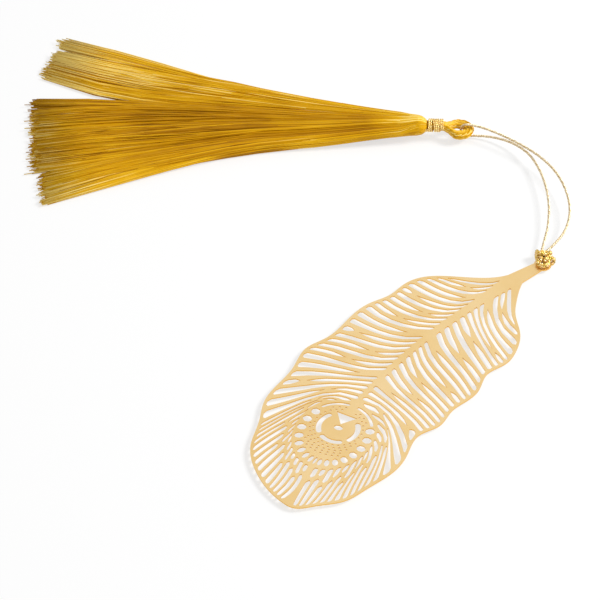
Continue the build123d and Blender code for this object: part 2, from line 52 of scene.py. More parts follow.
# Places that the model's source also has, in millimetres and degrees
TABLE_LEVEL = -1.1
CORD_DIAMETER = 0.8
CORD_RADIUS = CORD_DIAMETER / 2
QUILL_HOLE = np.array([9.43, 56.1, 0.0])
HITCH_HEADING = 30.0
TASSEL_EYE = np.array([-39.7, 87.9, 1.9])
TASSEL_HEADING = 214.9
SKIRT_START = 14.9
SKIRT_LENGTH = 110.0
SKIRT_HALF_WIDTH = 40.0
SKIRT_HEIGHT = 5.4
SKIRT_BASE = -3.0

# Skirt locks: station along the skirt, far and near edges, height and the crown's part of it, as shares
STATION, FAR_EDGE, NEAR_EDGE, HEIGHT, CROWN = range(5)
FAR_LOCK = [
    (0.00, -0.075, -0.038, 0.88, 0.09),
    (0.18, -0.240, -0.110, 0.85, 0.22),
    (0.43, -0.460, -0.200, 0.74, 0.32),
    (0.78, -0.820, -0.315, 0.52, 0.40),
    (0.98, -1.000, -0.560, 0.33, 0.40),
]
MIDDLE_LOCK = [
    (0.00, -0.038, 0.038, 1.00, 0.16),
    (0.18, -0.110, 0.080, 0.95, 0.22),
    (0.43, -0.200, 0.130, 0.82, 0.32),
    (0.78, -0.315, 0.350, 0.56, 0.40),
    (0.99, -0.300, 0.480, 0.35, 0.40),
]
NEAR_LOCK = [
    (0.00, 0.038, 0.075, 0.88, 0.09),
    (0.18, 0.080, 0.150, 0.85, 0.22),
    (0.43, 0.130, 0.225, 0.74, 0.30),
    (0.78, 0.350, 0.620, 0.50, 0.40),
    (0.95, 0.500, 0.830, 0.32, 0.40),
]

# Route of the cord loop from the hitch to the tassel's eye on its inner strand, and back on the outer one
INNER_STRAND = [
    (4.9, 63.6, 1.2), (2.7, 69.0, 1.6), (-2.7, 77.6, 1.9), (-9.9, 85.2, 1.9), (-16.9, 90.2, 1.8),
    (-21.9, 92.0, 1.5), (-26.8, 92.5, 1.1), (-31.6, 91.9, 0.5), (-35.6, 90.4, 0.0),
]
OUTER_STRAND = [
    (-35.6, 90.1, 3.9), (-31.2, 91.1, 3.5), (-26.1, 91.5, 3.3), (-20.0, 91.3, 3.2), (-13.6, 90.3, 3.1),
    (-7.1, 87.8, 3.0), (-1.0, 83.6, 2.6), (4.2, 78.0, 2.2), (7.4, 71.4, 1.7), (8.2, 65.2, 1.3),
]
EYE_LOW = (-39.9, 87.7, -0.4)
EYE_HIGH = (-39.9, 87.7, 4.2)
CORD_START = 4.40
TAIL_SIDE = 0.65
TAIL_LEVEL = 1.1

# One half of the hitch, from a tail to the middle of its crossbar: out from the hole, to the side and up
HITCH_HALF = [
    (4.25, -0.65, 1.10), (3.20, -0.66, 1.15), (1.80, -0.68, 1.65), (0.25, -0.62, 1.65),
    (0.10, -0.60, -0.60), (1.30, -0.95, -0.58), (2.50, -1.80, -0.58), (3.70, -2.00, -0.55),
    (3.85, -1.95, 1.70), (2.90, -1.75, 2.35), (2.10, -0.95, 2.30),
]
HITCH_MIDDLE = (1.90, 0.00, 2.30)
# A round collar on the two tails: distance out from the hole, half its width, its level and half its height
HITCH_COLLARS = [(3.15, 1.55, 1.15, 1.00), (2.45, 1.75, 1.45, 0.80)]
COLLAR_STEPS = 10
COLLAR_FIRST_STEP = -3
# A turn of the hitch through the hole and round the quill's end: out from the hole and up
HITCH_TURN = [
    (0.55, 0.20), (0.60, 1.45), (1.90, 1.75), (3.40, 1.45), (3.60, 0.20), (3.20, -0.54), (1.60, -0.55),
    (0.55, -0.54), (0.55, 0.20),
]
HITCH_TURN_ANGLES = (-36.0, -60.0)
# A coil on the quill round the foot of the tails: its radius and level at its two ends, and its turns
HITCH_COIL_RADII = (1.80, 1.45)
HITCH_COIL_LEVELS = (0.92, 1.45)
HITCH_COIL_TURNS = 1.6
COIL_STEPS = 20

# How each cord is twisted, in millimetres: the step between its points, its radius, its plies, the length
# of one turn, the corners round a ply, and how unevenly the plies swell
HITCH_LAY = {"step": 0.12, "radius": 0.50, "plies": 3, "pitch": 2.0, "corners": 7, "swell": 0.12}
WRAP_LAY = {"step": 0.12, "radius": 0.55, "plies": 3, "pitch": 2.1, "corners": 7, "swell": 0.14}
COIL_LAY = {"step": 0.12, "radius": 0.50, "plies": 3, "pitch": 2.0, "corners": 7, "swell": 0.14}
CORD_LAY = {"step": 0.16, "radius": CORD_RADIUS, "plies": 3, "pitch": 2.2, "corners": 7, "swell": 0.06}
YARN_LAY = {"step": 0.28, "radius": 0.46, "plies": 3, "pitch": 5.0, "corners": 6, "swell": 0.0}
BINDING_LAY = {"step": 0.14, "radius": 0.29, "plies": 2, "pitch": 1.1, "corners": 6, "swell": 0.0}
# Share of a cord's radius that each of two or three plies has when they touch
PLY_SHARES = {2: 0.5, 3: 0.866 / 1.866}
SWELL_RATE = 1.7
SWELL_SHIFT = 2.1

SPLINE_ORDER = 3
SPLINE_STEPS = 24
LEAST_STEPS = 8
LEAST_LENGTH = 1e-12
STEEP = 0.9


# Mesh helpers
def unit(vectors):
    return vectors / np.maximum(np.linalg.norm(vectors, axis=-1, keepdims=True), LEAST_LENGTH)


def between(ends, share):
    return ends[0] + (ends[1] - ends[0]) * share


def ease(shares):
    """Shares from 0 to 1 with a gentle start and end."""
    shares = np.clip(shares, 0.0, 1.0)
    return shares * shares * (3 - 2 * shares)


def ease_over(places, ends):
    """0 before the first end, 1 after the second, and eased in between."""
    return ease((places - ends[0]) / (ends[1] - ends[0]))


def make_object(name, shape, material):
    """A smooth object from (vertices, faces, tones). Its material reads the tones at the vertices."""
    verts, faces, tones = shape
    mesh = bpy.data.meshes.new(name)
    mesh.from_pydata(verts.tolist(), [], faces)
    mesh.polygons.foreach_set("use_smooth", np.ones(len(mesh.polygons), dtype=bool))
    mesh.update()
    obj = bpy.data.objects.new(name, mesh)
    bpy.context.scene.collection.objects.link(obj)
    mesh.materials.append(material)
    attribute = mesh.attributes.new("tone", "FLOAT", "POINT")
    attribute.data.foreach_set("value", np.asarray(tones, dtype=np.float32))
    return obj


def level_frames(paths):
    """Side and top directions of paths that never run straight up."""
    along = unit(np.gradient(paths, axis=-2))
    side = unit(np.cross(along, UP))
    return side, np.cross(side, along)


def carried_frames(path):
    """Side and top directions carried along one path without twist."""
    along = unit(np.gradient(path, axis=0))
    side = np.zeros_like(path)
    side[0] = unit(np.cross(along[0], UP if abs(along[0][2]) < STEEP else SIDEWAYS))
    for i in range(1, len(path)):
        side[i] = unit(side[i - 1] - along[i] * np.dot(side[i - 1], along[i]))
    return side, np.cross(side, along)


def tube_rings(paths, sides, tops, radii, corner_count):
    """Vertices and faces of closed tubes. paths has a row of points for each tube."""
    tube_count, point_count = paths.shape[:2]
    turns = np.arange(corner_count) * 2 * math.pi / corner_count
    offsets = (
        sides[:, :, None, :] * np.cos(turns)[None, None, :, None]
        + tops[:, :, None, :] * np.sin(turns)[None, None, :, None]
    )
    verts = (paths[:, :, None, :] + offsets * radii[:, :, None, None]).reshape(-1, 3)
    index = np.arange(len(verts)).reshape(tube_count, point_count, corner_count)
    after = np.roll(index, -1, axis=2)
    quads = np.stack([index[:, :-1], after[:, :-1], after[:, 1:], index[:, 1:]], axis=-1)
    faces = quads.reshape(-1, 4).tolist()
    faces += index[:, 0, ::-1].tolist()
    faces += index[:, -1].tolist()
    return verts, faces


def spline_points(name, route):
    """Points of a smooth NURBS line with the route's points as its control points, in metres."""
    curve = bpy.data.curves.new(name, "CURVE")
    curve.dimensions = "3D"
    curve.resolution_u = SPLINE_STEPS
    spline = curve.splines.new("NURBS")
    spline.points.add(len(route) - 1)
    for point, place in zip(spline.points, route):
        point.co = (place[0] * MM, place[1] * MM, place[2] * MM, 1.0)
    spline.order_u = SPLINE_ORDER
    spline.use_endpoint_u = True
    obj = bpy.data.objects.new(name, curve)
    mesh = bpy.data.meshes.new_from_object(obj)
    points = np.array([v.co[:] for v in mesh.vertices], dtype=float)
    bpy.data.meshes.remove(mesh)
    bpy.data.objects.remove(obj)
    bpy.data.curves.remove(curve)
    return points


def evenly(points, step):
    """The same line with its points an even step apart, and its length."""
    lengths = np.concatenate([[0.0], np.cumsum(np.linalg.norm(np.diff(points, axis=0), axis=1))])
    count = max(LEAST_STEPS, int(round(lengths[-1] / step)))
    wanted = np.linspace(0.0, lengths[-1], count + 1)
    line = np.stack([np.interp(wanted, lengths, points[:, axis]) for axis in range(3)], axis=1)
    return line, lengths[-1]


def join_shapes(shapes):
    """Several (vertices, faces, tones) as one."""
    verts, faces, tones = [], [], []
    base = 0
    for shape_verts, shape_faces, shape_tones in shapes:
        verts.append(shape_verts)
        faces += [[i + base for i in face] for face in shape_faces]
        tones.append(shape_tones)
        base += len(shape_verts)
    return np.concatenate(verts), faces, np.concatenate(tones)


def twisted(points, lay):
    """Plies wound round a line as (vertices, faces, tones), with a tone for each ply."""
    line, length = evenly(points, lay["step"] * MM)
    side, top = carried_frames(line)
    plies = lay["plies"]
    ply_radius = lay["radius"] * MM * PLY_SHARES[plies]
    reach = lay["radius"] * MM - ply_radius
    turns = np.linspace(0.0, length, len(line)) / (lay["pitch"] * MM)
    shapes = []
    for ply in range(plies):
        angle = (2 * math.pi * (turns + ply / plies))[:, None]
        swell = 1 + lay["swell"] * np.sin(turns * SWELL_RATE + ply * SWELL_SHIFT)
        path = line + (reach * swell)[:, None] * (np.cos(angle) * side + np.sin(angle) * top)
        ply_side, ply_top = carried_frames(path)
        radii = np.full((1, len(path)), ply_radius)
        verts, faces = tube_rings(path[None], ply_side[None], ply_top[None], radii, lay["corners"])
        shapes.append((verts, faces, np.full(len(verts), (ply + 0.5) / plies)))
    return join_shapes(shapes)


# Materials: colour stops are a place on a ramp and a colour
PLATE_FACE_STOPS = [(0.3, (0.90, 0.62, 0.26)), (0.5, (0.95, 0.69, 0.33)), (0.72, (0.98, 0.74, 0.40))]
# Painted shade: the deeper orange that the plate's walls take
PLATE_WALL_SHADE = (0.86, 0.52, 0.13, 1.0)
CORD_STOPS = [
    (0.30, (0.34, 0.22, 0.08)), (0.48, (0.62, 0.46, 0.24)), (0.62, (0.80, 0.66, 0.44)),
    (0.78, (0.92, 0.84, 0.62)),
]
HITCH_STOPS = [
    (0.34, (0.21, 0.11, 0.008)), (0.50, (0.52, 0.32, 0.045)), (0.62, (0.88, 0.65, 0.14)),
    (0.72, (0.88, 0.57, 0.36)), (0.84, (1.0, 0.88, 0.42)),
]
BINDING_STOPS = [(0.30, (0.60, 0.36, 0.06)), (0.50, (0.95, 0.64, 0.18)), (0.70, (1.0, 0.80, 0.36))]
SILK_STOPS = [
    (0.10, (0.30, 0.115, 0.0005)), (0.35, (0.50, 0.225, 0.001)), (0.60, (0.68, 0.345, 0.002)),
    (0.85, (0.84, 0.49, 0.012)), (1.10, (1.0, 0.74, 0.20)),
]
SKIRT_STOP_SHARE = 1.0
HEAD_STOP_SHARE = 0.8
PLY_TONE_SHARE = 0.22
SILK_NOISE_SHARE = 0.35
# Sockets of a mix node that mixes colours
MIX_FIRST_COLOUR = 6
MIX_SECOND_COLOUR = 7
MIX_COLOUR_RESULT = 2


def new_material(name):
    material = bpy.data.materials.new(name)
    material.use_nodes = True
    nodes = material.node_tree.nodes
    return material, nodes, material.node_tree.links, nodes["Principled BSDF"]


def math_value(nodes, links, operation, *values):
    """What a maths node makes of other nodes' outputs and plain numbers."""
    node = nodes.new("ShaderNodeMath")
    node.operation = operation
    for socket, value in zip(node.inputs, values):
        if isinstance(value, bpy.types.NodeSocket):
            links.new(value, socket)
        else:
            socket.default_value = value
    return node.outputs[0]


def noise_value(nodes, links, scale, detail, roughness=0.5):
    place = nodes.new("ShaderNodeTexCoord")
    noise = nodes.new("ShaderNodeTexNoise")
    noise.inputs["Scale"].default_value = scale
    noise.inputs["Detail"].default_value = detail
    noise.inputs["Roughness"].default_value = roughness
    links.new(place.outputs["Object"], noise.inputs["Vector"])
    return noise.outputs["Fac"]


def tone_value(nodes):
    """The tones that make_object gives the vertices."""
    tone = nodes.new("ShaderNodeAttribute")
    tone.attribute_name = "tone"
    return tone.outputs["Fac"]


def ramp_colour(nodes, links, value, stops):
    ramp = nodes.new("ShaderNodeValToRGB")
    elements = ramp.color_ramp.elements
    while len(elements) < len(stops):
        elements.new(0.5)
    for element, (place, colour) in zip(elements, stops):
        element.position = place
        element.color = (*colour, 1.0)
    links.new(value, ramp.inputs["Fac"])
    return ramp.outputs["Color"]


def bump_from(nodes, links, shader, height, strength, distance):
    bump = nodes.new("ShaderNodeBump")
    bump.inputs["Strength"].default_value = strength
    bump.inputs["Distance"].default_value = distance
    links.new(height, bump.inputs["Height"])
    links.new(bump.outputs["Normal"], shader.inputs["Normal"])


def plate_gold():
    """Satin gold plate on etched brass: pale faces, a deeper orange on the walls as painted shade, and a
    fine grain.
    """
    material, nodes, links, shader = new_material("plate_gold")
    shader.inputs["Metallic"].default_value = 1.0
    cloud = noise_value(nodes, links, scale=45.0, detail=4.0)
    face_colour = ramp_colour(nodes, links, cloud, PLATE_FACE_STOPS)
    place = nodes.new("ShaderNodeTexCoord")
    split = nodes.new("ShaderNodeSeparateXYZ")
    links.new(place.outputs["Normal"], split.inputs["Vector"])
    # Walls, whose normals lie level, take the deeper orange: painted shade
    mix = nodes.new("ShaderNodeMix")
    mix.data_type = "RGBA"
    links.new(math_value(nodes, links, "ABSOLUTE", split.outputs["Z"]), mix.inputs[0])
    mix.inputs[MIX_FIRST_COLOUR].default_value = PLATE_WALL_SHADE
    links.new(face_colour, mix.inputs[MIX_SECOND_COLOUR])
    links.new(mix.outputs[MIX_COLOUR_RESULT], shader.inputs["Base Color"])
    grain = noise_value(nodes, links, scale=5200.0, detail=2.0)
    gloss = nodes.new("ShaderNodeMapRange")
    gloss.inputs["To Min"].default_value = 0.26
    gloss.inputs["To Max"].default_value = 0.46
    links.new(grain, gloss.inputs["Value"])
    links.new(gloss.outputs["Result"], shader.inputs["Roughness"])
    bump_from(nodes, links, shader, grain, strength=0.12, distance=0.04 * MM)
    return material


def metal_thread(name, stops, fleck_scale, roughness):
    """Metallic yarn: foil flecks that change along each ply."""
    material, nodes, links, shader = new_material(name)
    shader.inputs["Metallic"].default_value = 0.8
    shader.inputs["Roughness"].default_value = roughness
    fleck = noise_value(nodes, links, scale=fleck_scale, detail=2.0, roughness=0.7)
    shade = math_value(nodes, links, "MULTIPLY_ADD", tone_value(nodes), PLY_TONE_SHARE, fleck)
    links.new(ramp_colour(nodes, links, shade, stops), shader.inputs["Base Color"])
    bump_from(nodes, links, shader, fleck, strength=0.35, distance=0.06 * MM)
    return material


def silk(name, stop_share, sheen):
    """Silk yarn: a tone for each thread, with slow changes along it and fine fibres."""
    material, nodes, links, shader = new_material(name)
    shader.inputs["Roughness"].default_value = 0.4
    shader.inputs["Specular IOR Level"].default_value = 0.22
    shader.inputs["Specular Tint"].default_value = (1.0, 0.80, 0.32, 1.0)
    shader.inputs["Sheen Weight"].default_value = sheen
    shader.inputs["Sheen Tint"].default_value = (1.0, 0.82, 0.4, 1.0)
    slow = noise_value(nodes, links, scale=60.0, detail=2.0)
    shade = math_value(nodes, links, "MULTIPLY_ADD", slow, SILK_NOISE_SHARE, tone_value(nodes))
    stops = [(min(place * stop_share, 1.0), colour) for place, colour in SILK_STOPS]
    links.new(ramp_colour(nodes, links, shade, stops), shader.inputs["Base Color"])
    fibre = noise_value(nodes, links, scale=3800.0, detail=2.0)
    bump_from(nodes, links, shader, fibre, strength=0.25, distance=0.05 * MM)
    return material


PLATE = plate_gold()
CORD_GOLD = metal_thread("cord_gold", CORD_STOPS, fleck_scale=2600.0, roughness=0.36)
HITCH_GOLD = metal_thread("hitch_gold", HITCH_STOPS, fleck_scale=1700.0, roughness=0.30)
BINDING_GOLD = metal_thread("binding_gold", BINDING_STOPS, fleck_scale=2400.0, roughness=0.32)
SKIRT_SILK = silk("skirt_silk", SKIRT_STOP_SHARE, sheen=0.04)
HEAD_SILK = silk("head_silk", HEAD_STOP_SHARE, sheen=0.08)

# Feather plate: the CAD node with its finish
plate_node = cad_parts["feather_plate"]
for plate_slot in plate_node.material_slots:
    plate_slot.material = PLATE

# Hitch and cord
exit_turn = math.radians(HITCH_HEADING)
HITCH_OUT = np.array([-math.sin(exit_turn), math.cos(exit_turn), 0.0])
HITCH_SIDE = np.array([math.cos(exit_turn), math.sin(exit_turn), 0.0])


def at_hitch(out, side, level):
    return QUILL_HOLE + HITCH_OUT * out + HITCH_SIDE * side + UP * level


def hitch_shape(name, route, lay):
    """A twisted cord along places at the hitch: out from the hole, to the side and up."""
    return twisted(spline_points(name, [at_hitch(*place) for place in route]), lay)


hitch_route = HITCH_HALF + [HITCH_MIDDLE]
hitch_route += [(out, -side, level) for out, side, level in reversed(HITCH_HALF)]
hitch_shapes = [hitch_shape("hitch_line", hitch_route, HITCH_LAY)]
for out, half_width, level, half_height in HITCH_COLLARS:
    collar_route = []
    for step in range(COLLAR_FIRST_STEP, COLLAR_FIRST_STEP + COLLAR_STEPS + 1):
        turn = 2 * math.pi * step / COLLAR_STEPS
        collar_route.append((out, half_width * math.cos(turn), level + half_height * math.sin(turn)))
    hitch_shapes.append(hitch_shape("hitch_collar", collar_route, WRAP_LAY))
for turn_angle in HITCH_TURN_ANGLES:
    lean = math.radians(turn_angle)
    turn_route = [(out * math.cos(lean), -out * math.sin(lean), level) for out, level in HITCH_TURN]
    hitch_shapes.append(hitch_shape("hitch_turn", turn_route, WRAP_LAY))
coil_route = []
for step in range(COIL_STEPS + 1):
    coil_share = step / COIL_STEPS
    turn = 2 * math.pi * HITCH_COIL_TURNS * coil_share
    radius = between(HITCH_COIL_RADII, coil_share)
    level = between(HITCH_COIL_LEVELS, coil_share)
    coil_route.append((radius * math.cos(turn), radius * math.sin(turn), level))
hitch_shapes.append(hitch_shape("hitch_coil", coil_route, COIL_LAY))
hitch = make_object("hitch_knot", join_shapes(hitch_shapes), HITCH_GOLD)
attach(hitch, "hitch")
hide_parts("quill_hitch")

cord_route = [at_hitch(CORD_START, -TAIL_SIDE, TAIL_LEVEL)]
cord_route += INNER_STRAND + [EYE_LOW, EYE_HIGH] + OUTER_STRAND
cord_route.append(at_hitch(CORD_START, TAIL_SIDE, TAIL_LEVEL))
cord_line = spline_points("cord_line", cord_route)
cord = make_object("cord_strands", twisted(cord_line, CORD_LAY), CORD_GOLD)
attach(cord, "cord")
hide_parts("cord_loop")

# Tassel places: along it from the cord in its eye, across it towards the plate, and up from its axis
heading = math.radians(TASSEL_HEADING)
TASSEL_ALONG = np.array([math.cos(heading), math.sin(heading), 0.0])
TASSEL_ACROSS = np.array([-math.sin(heading), math.cos(heading), 0.0])
NECK_RISE = 1.5
NECK_RISE_FROM = (1.5, 6.0)
NECK_RISE_TO = (12.0, 50.0)


def in_tassel(places):
    """Places in millimetres from places in the tassel, whose neck stands up from its eye and skirt."""
    places = np.asarray(places, dtype=float)
    along = places[..., 0:1]
    rise = NECK_RISE * ease_over(along, NECK_RISE_FROM) * (1 - ease_over(along, NECK_RISE_TO))
    return (
        TASSEL_EYE
        + along * TASSEL_ALONG
        + places[..., 1:2] * TASSEL_ACROSS
        + (places[..., 2:3] + rise) * UP
    )


# Head: yarns folded round the eye and gathered in the neck. Each yarn has a place on a spiral in the
# section of the fold, and a like place in each half of the neck.
YARN_COUNT = 26
GOLDEN_TURN = 2.399963
HOLE_HALF = 1.0
FOLD_MIDDLE = 1.42
FOLD_HALF_WIDTH = 1.08
FOLD_HALF_HEIGHT = 1.03
NECK_MIDDLE = 0.28
NECK_HALF_WIDTH = 0.46
NECK_HALF_HEIGHT = 0.92
# A yarn from the neck to the eye. In the neck: station, share of its place across, and more across. By the
# eye: station, share of its reach, more across, and share of its level.
NECK_ROUTE = [(10.3, 1.0, 0.0), (8.2, 1.0, 0.0), (6.4, 1.05, 0.0), (4.7, 1.0, 0.15)]
EYE_ROUTE = [(3.3, 0.42, 0.20, 1.0), (2.3, 0.88, 0.0, 1.05), (1.1, 1.05, 0.0, 1.0)]
FOLD_ANGLES = (0.55, 1.1, math.pi / 2, math.pi - 1.1, math.pi - 0.55)
FOLD_STATION = 0.45
FOLD_STRETCH_ALONG = 1.06
FOLD_STRETCH_ACROSS = 1.02
YARN_JITTER = 0.05
YARN_TONES = (0.30, 0.72)


def yarn_route(yarn):
    """Places in the tassel of one yarn, from the neck round the fold and back."""
    spiral = math.sqrt((yarn + 0.5) / YARN_COUNT)
    spiral_across = spiral * math.cos(yarn * GOLDEN_TURN)
    spiral_up = spiral * math.sin(yarn * GOLDEN_TURN)
    reach = HOLE_HALF + FOLD_MIDDLE + FOLD_HALF_WIDTH * spiral_across
    level = FOLD_HALF_HEIGHT * spiral_up
    neck_across = NECK_MIDDLE + NECK_HALF_WIDTH * spiral_across
    neck_level = NECK_HALF_HEIGHT * spiral_up
    half = [(station, share * neck_across + more, neck_level) for station, share, more in NECK_ROUTE]
    half += [(station, share * reach + more, level * lift) for station, share, more, lift in EYE_ROUTE]
    fold = [
        (
            FOLD_STATION - reach * FOLD_STRETCH_ALONG * math.sin(angle),
            reach * FOLD_STRETCH_ACROSS * math.cos(angle),
            level,
        )
        for angle in FOLD_ANGLES
    ]
    other_half = [(station, -across, up) for station, across, up in reversed(half)]
    return np.array(half + fold + other_half)


head_shapes = []
for yarn in range(YARN_COUNT):
    places = yarn_route(yarn)
    places = places + rng.normal(0.0, YARN_JITTER, places.shape)
    verts, faces, _ = twisted(spline_points(f"yarn_line_{yarn}", in_tassel(places)), YARN_LAY)
    head_shapes.append((verts, faces, np.full(len(verts), random.uniform(*YARN_TONES))))
head = make_object("head_yarns", join_shapes(head_shapes), HEAD_SILK)
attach(head, "tassel")
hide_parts("tassel_head")

# Neck binding: a pair of threads wound side by side, whose turns lean this way and that
BINDING_RADIUS = 1.72
BINDING_START = 5.65
BINDING_PITCH = 1.1
BINDING_TURNS = 4
BINDING_TURN_STEPS = 40
BINDING_LANES = (-0.25, 0.25)
BINDING_LEAN = 0.35
BINDING_LEAN_RATE = 2.3
binding_turns = np.linspace(0.0, BINDING_TURNS, BINDING_TURN_STEPS * BINDING_TURNS + 1)
binding_angles = 2 * math.pi * binding_turns
binding_lean = BINDING_LEAN * np.sin(BINDING_LEAN_RATE * binding_turns) * np.cos(binding_angles)
binding_shapes = []
for lane in BINDING_LANES:
    places = np.stack([
        BINDING_START + BINDING_PITCH * (binding_turns + lane) + binding_lean,
        BINDING_RADIUS * np.cos(binding_angles),
        BINDING_RADIUS * np.sin(binding_angles),
    ], axis=1)
    binding_shapes.append(twisted(in_tassel(places) * MM, BINDING_LAY))
binding = make_object("binding_threads", join_shapes(binding_shapes), BINDING_GOLD)
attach(binding, "tassel")
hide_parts("neck_binding")

# Skirt: threads from the neck over the shoulder and along each lock. Their sizes and their stations
THREAD_RADIUS = 0.18
THREAD_SIZES = (0.8, 1.2)
THREAD_CORNERS = 5
THREAD_TAPER = ((0.0, 0.85, 1.0), (1.0, 1.0, 0.7))
STATIONS = np.array([
    9.9, 10.7, 11.7, 13.0, 15.0, 18.0, 22.0, 28.0, 36.0, 44.0, 52.0, 60.0, 69.0, 80.0, 93.0, 107.0, 122.0,
])
RUN = (STATIONS - STATIONS[0]) / (STATIONS[-1] - STATIONS[0])
# Cut ends: how they spread, and the part of the threads that are shorter
END_SPREAD = 0.009
SHORT_PART = 0.06
SHORT_LENGTHS = (0.86, 0.97)
# Across a lock: threads draw together in clumps over this share of the skirt, and drift
GATHER_SHARE = 0.9
CLUMP_PULL = 0.45
DRIFT = 0.05
EDGE_SLACK = 0.02
# Wisps stand out from this part of the far edge, and lie lower
WISP_EDGE = 0.3
WISP_REACH = (0.0, 0.12)
WISP_TOP = 0.6
# Waves of a thread and sways of a clump: sizes in millimetres and counts along the skirt
WAVE_SIZES = (0.2, 0.9)
WAVE_COUNTS = (0.5, 1.5)
SWAY_SIZES = (0.3, 1.2)
SWAY_COUNTS = (0.5, 1.1)
SWAY_GROWTH = 1.6
SWAY_AT_EDGE = 0.3
WAVE_LIFT = 0.15
SLIT_REACH = 0.09
SLIT_END = 0.97
# Up through a lock: low threads are fewer, clumps differ in height, and the underside lifts to the neck
LEVEL_POWER = 0.75
CLUMP_HEIGHTS = (0.74, 1.0)
RELIEF_AT_NECK = 0.3
NECK_LIFT = 0.8
NECK_LIFT_SHARE = 0.4
ROLL_SHARE = 0.55
# The round shoulder: its radii, how flat it is above and below, and where it passes into the lock
SHOULDER_HALF_WIDTH = 3.0
SHOULDER_STATIONS = (9.9, 10.5, 11.1, 11.8, 12.8, 14.2, 17.0)
SHOULDER_RADII = (1.05, 1.75, 2.35, 2.75, 2.95, 2.95, 2.9)
SHOULDER_ABOVE = 0.88
SHOULDER_BELOW = 0.94
SHOULDER_END = (11.5, 18.5)
# Tones: threads and yarn bands differ; painted shade low in a lock, painted light high; light edges; a
# painted highlight on the shoulder; pale ends
TONE_SPREAD = 0.12
BANDS_IN_CLUMP = 3
BAND_SPREAD = 0.10
# Painted shade: threads low in a lock are darker and high ones lighter
LEVEL_SHADE = 0.10
EDGE_LIGHT_PLACES = (0.0, 0.4, 0.6, 1.0)
EDGE_LIGHT_RUN = 0.4
END_LIGHT = 0.24
# Painted highlight on the round shoulder's top, fading over the first stations of the run; the cut ends are
# lighter
CAP_HIGHLIGHT_AND_TIP_RUN = (0.0, 0.06, 0.16, 0.80, 1.0)
SHOULDER_HIGHLIGHT_SHARE = 0.8
PALE_PART = 0.3
PALE_LIGHT = 0.50
SHIMMER = 0.07
LIGHTEST_TONE = 0.95
# Easing of a lock's rows: the table's ends and points, and how many points to each side are blended
TABLE_ENDS = (-0.2, 1.2)
TABLE_POINTS = 281
EASE_REACH = 36


def row_values(rows, column, shares):
    """A value of a lock's rows at shares of the skirt, with the bends at the rows eased."""
    stations = np.array([row[STATION] for row in rows])
    values = np.array([row[column] for row in rows])
    fine = np.linspace(*TABLE_ENDS, TABLE_POINTS)
    slope = (values[-1] - values[-2]) / (stations[-1] - stations[-2])
    raw = np.interp(fine, stations, values)
    raw = np.where(fine > stations[-1], values[-1] + slope * (fine - stations[-1]), raw)
    window = np.hanning(2 * EASE_REACH + 1)
    eased = np.convolve(np.pad(raw, EASE_REACH, mode="edge"), window / window.sum(), mode="valid")
    return np.interp(shares, fine, eased)


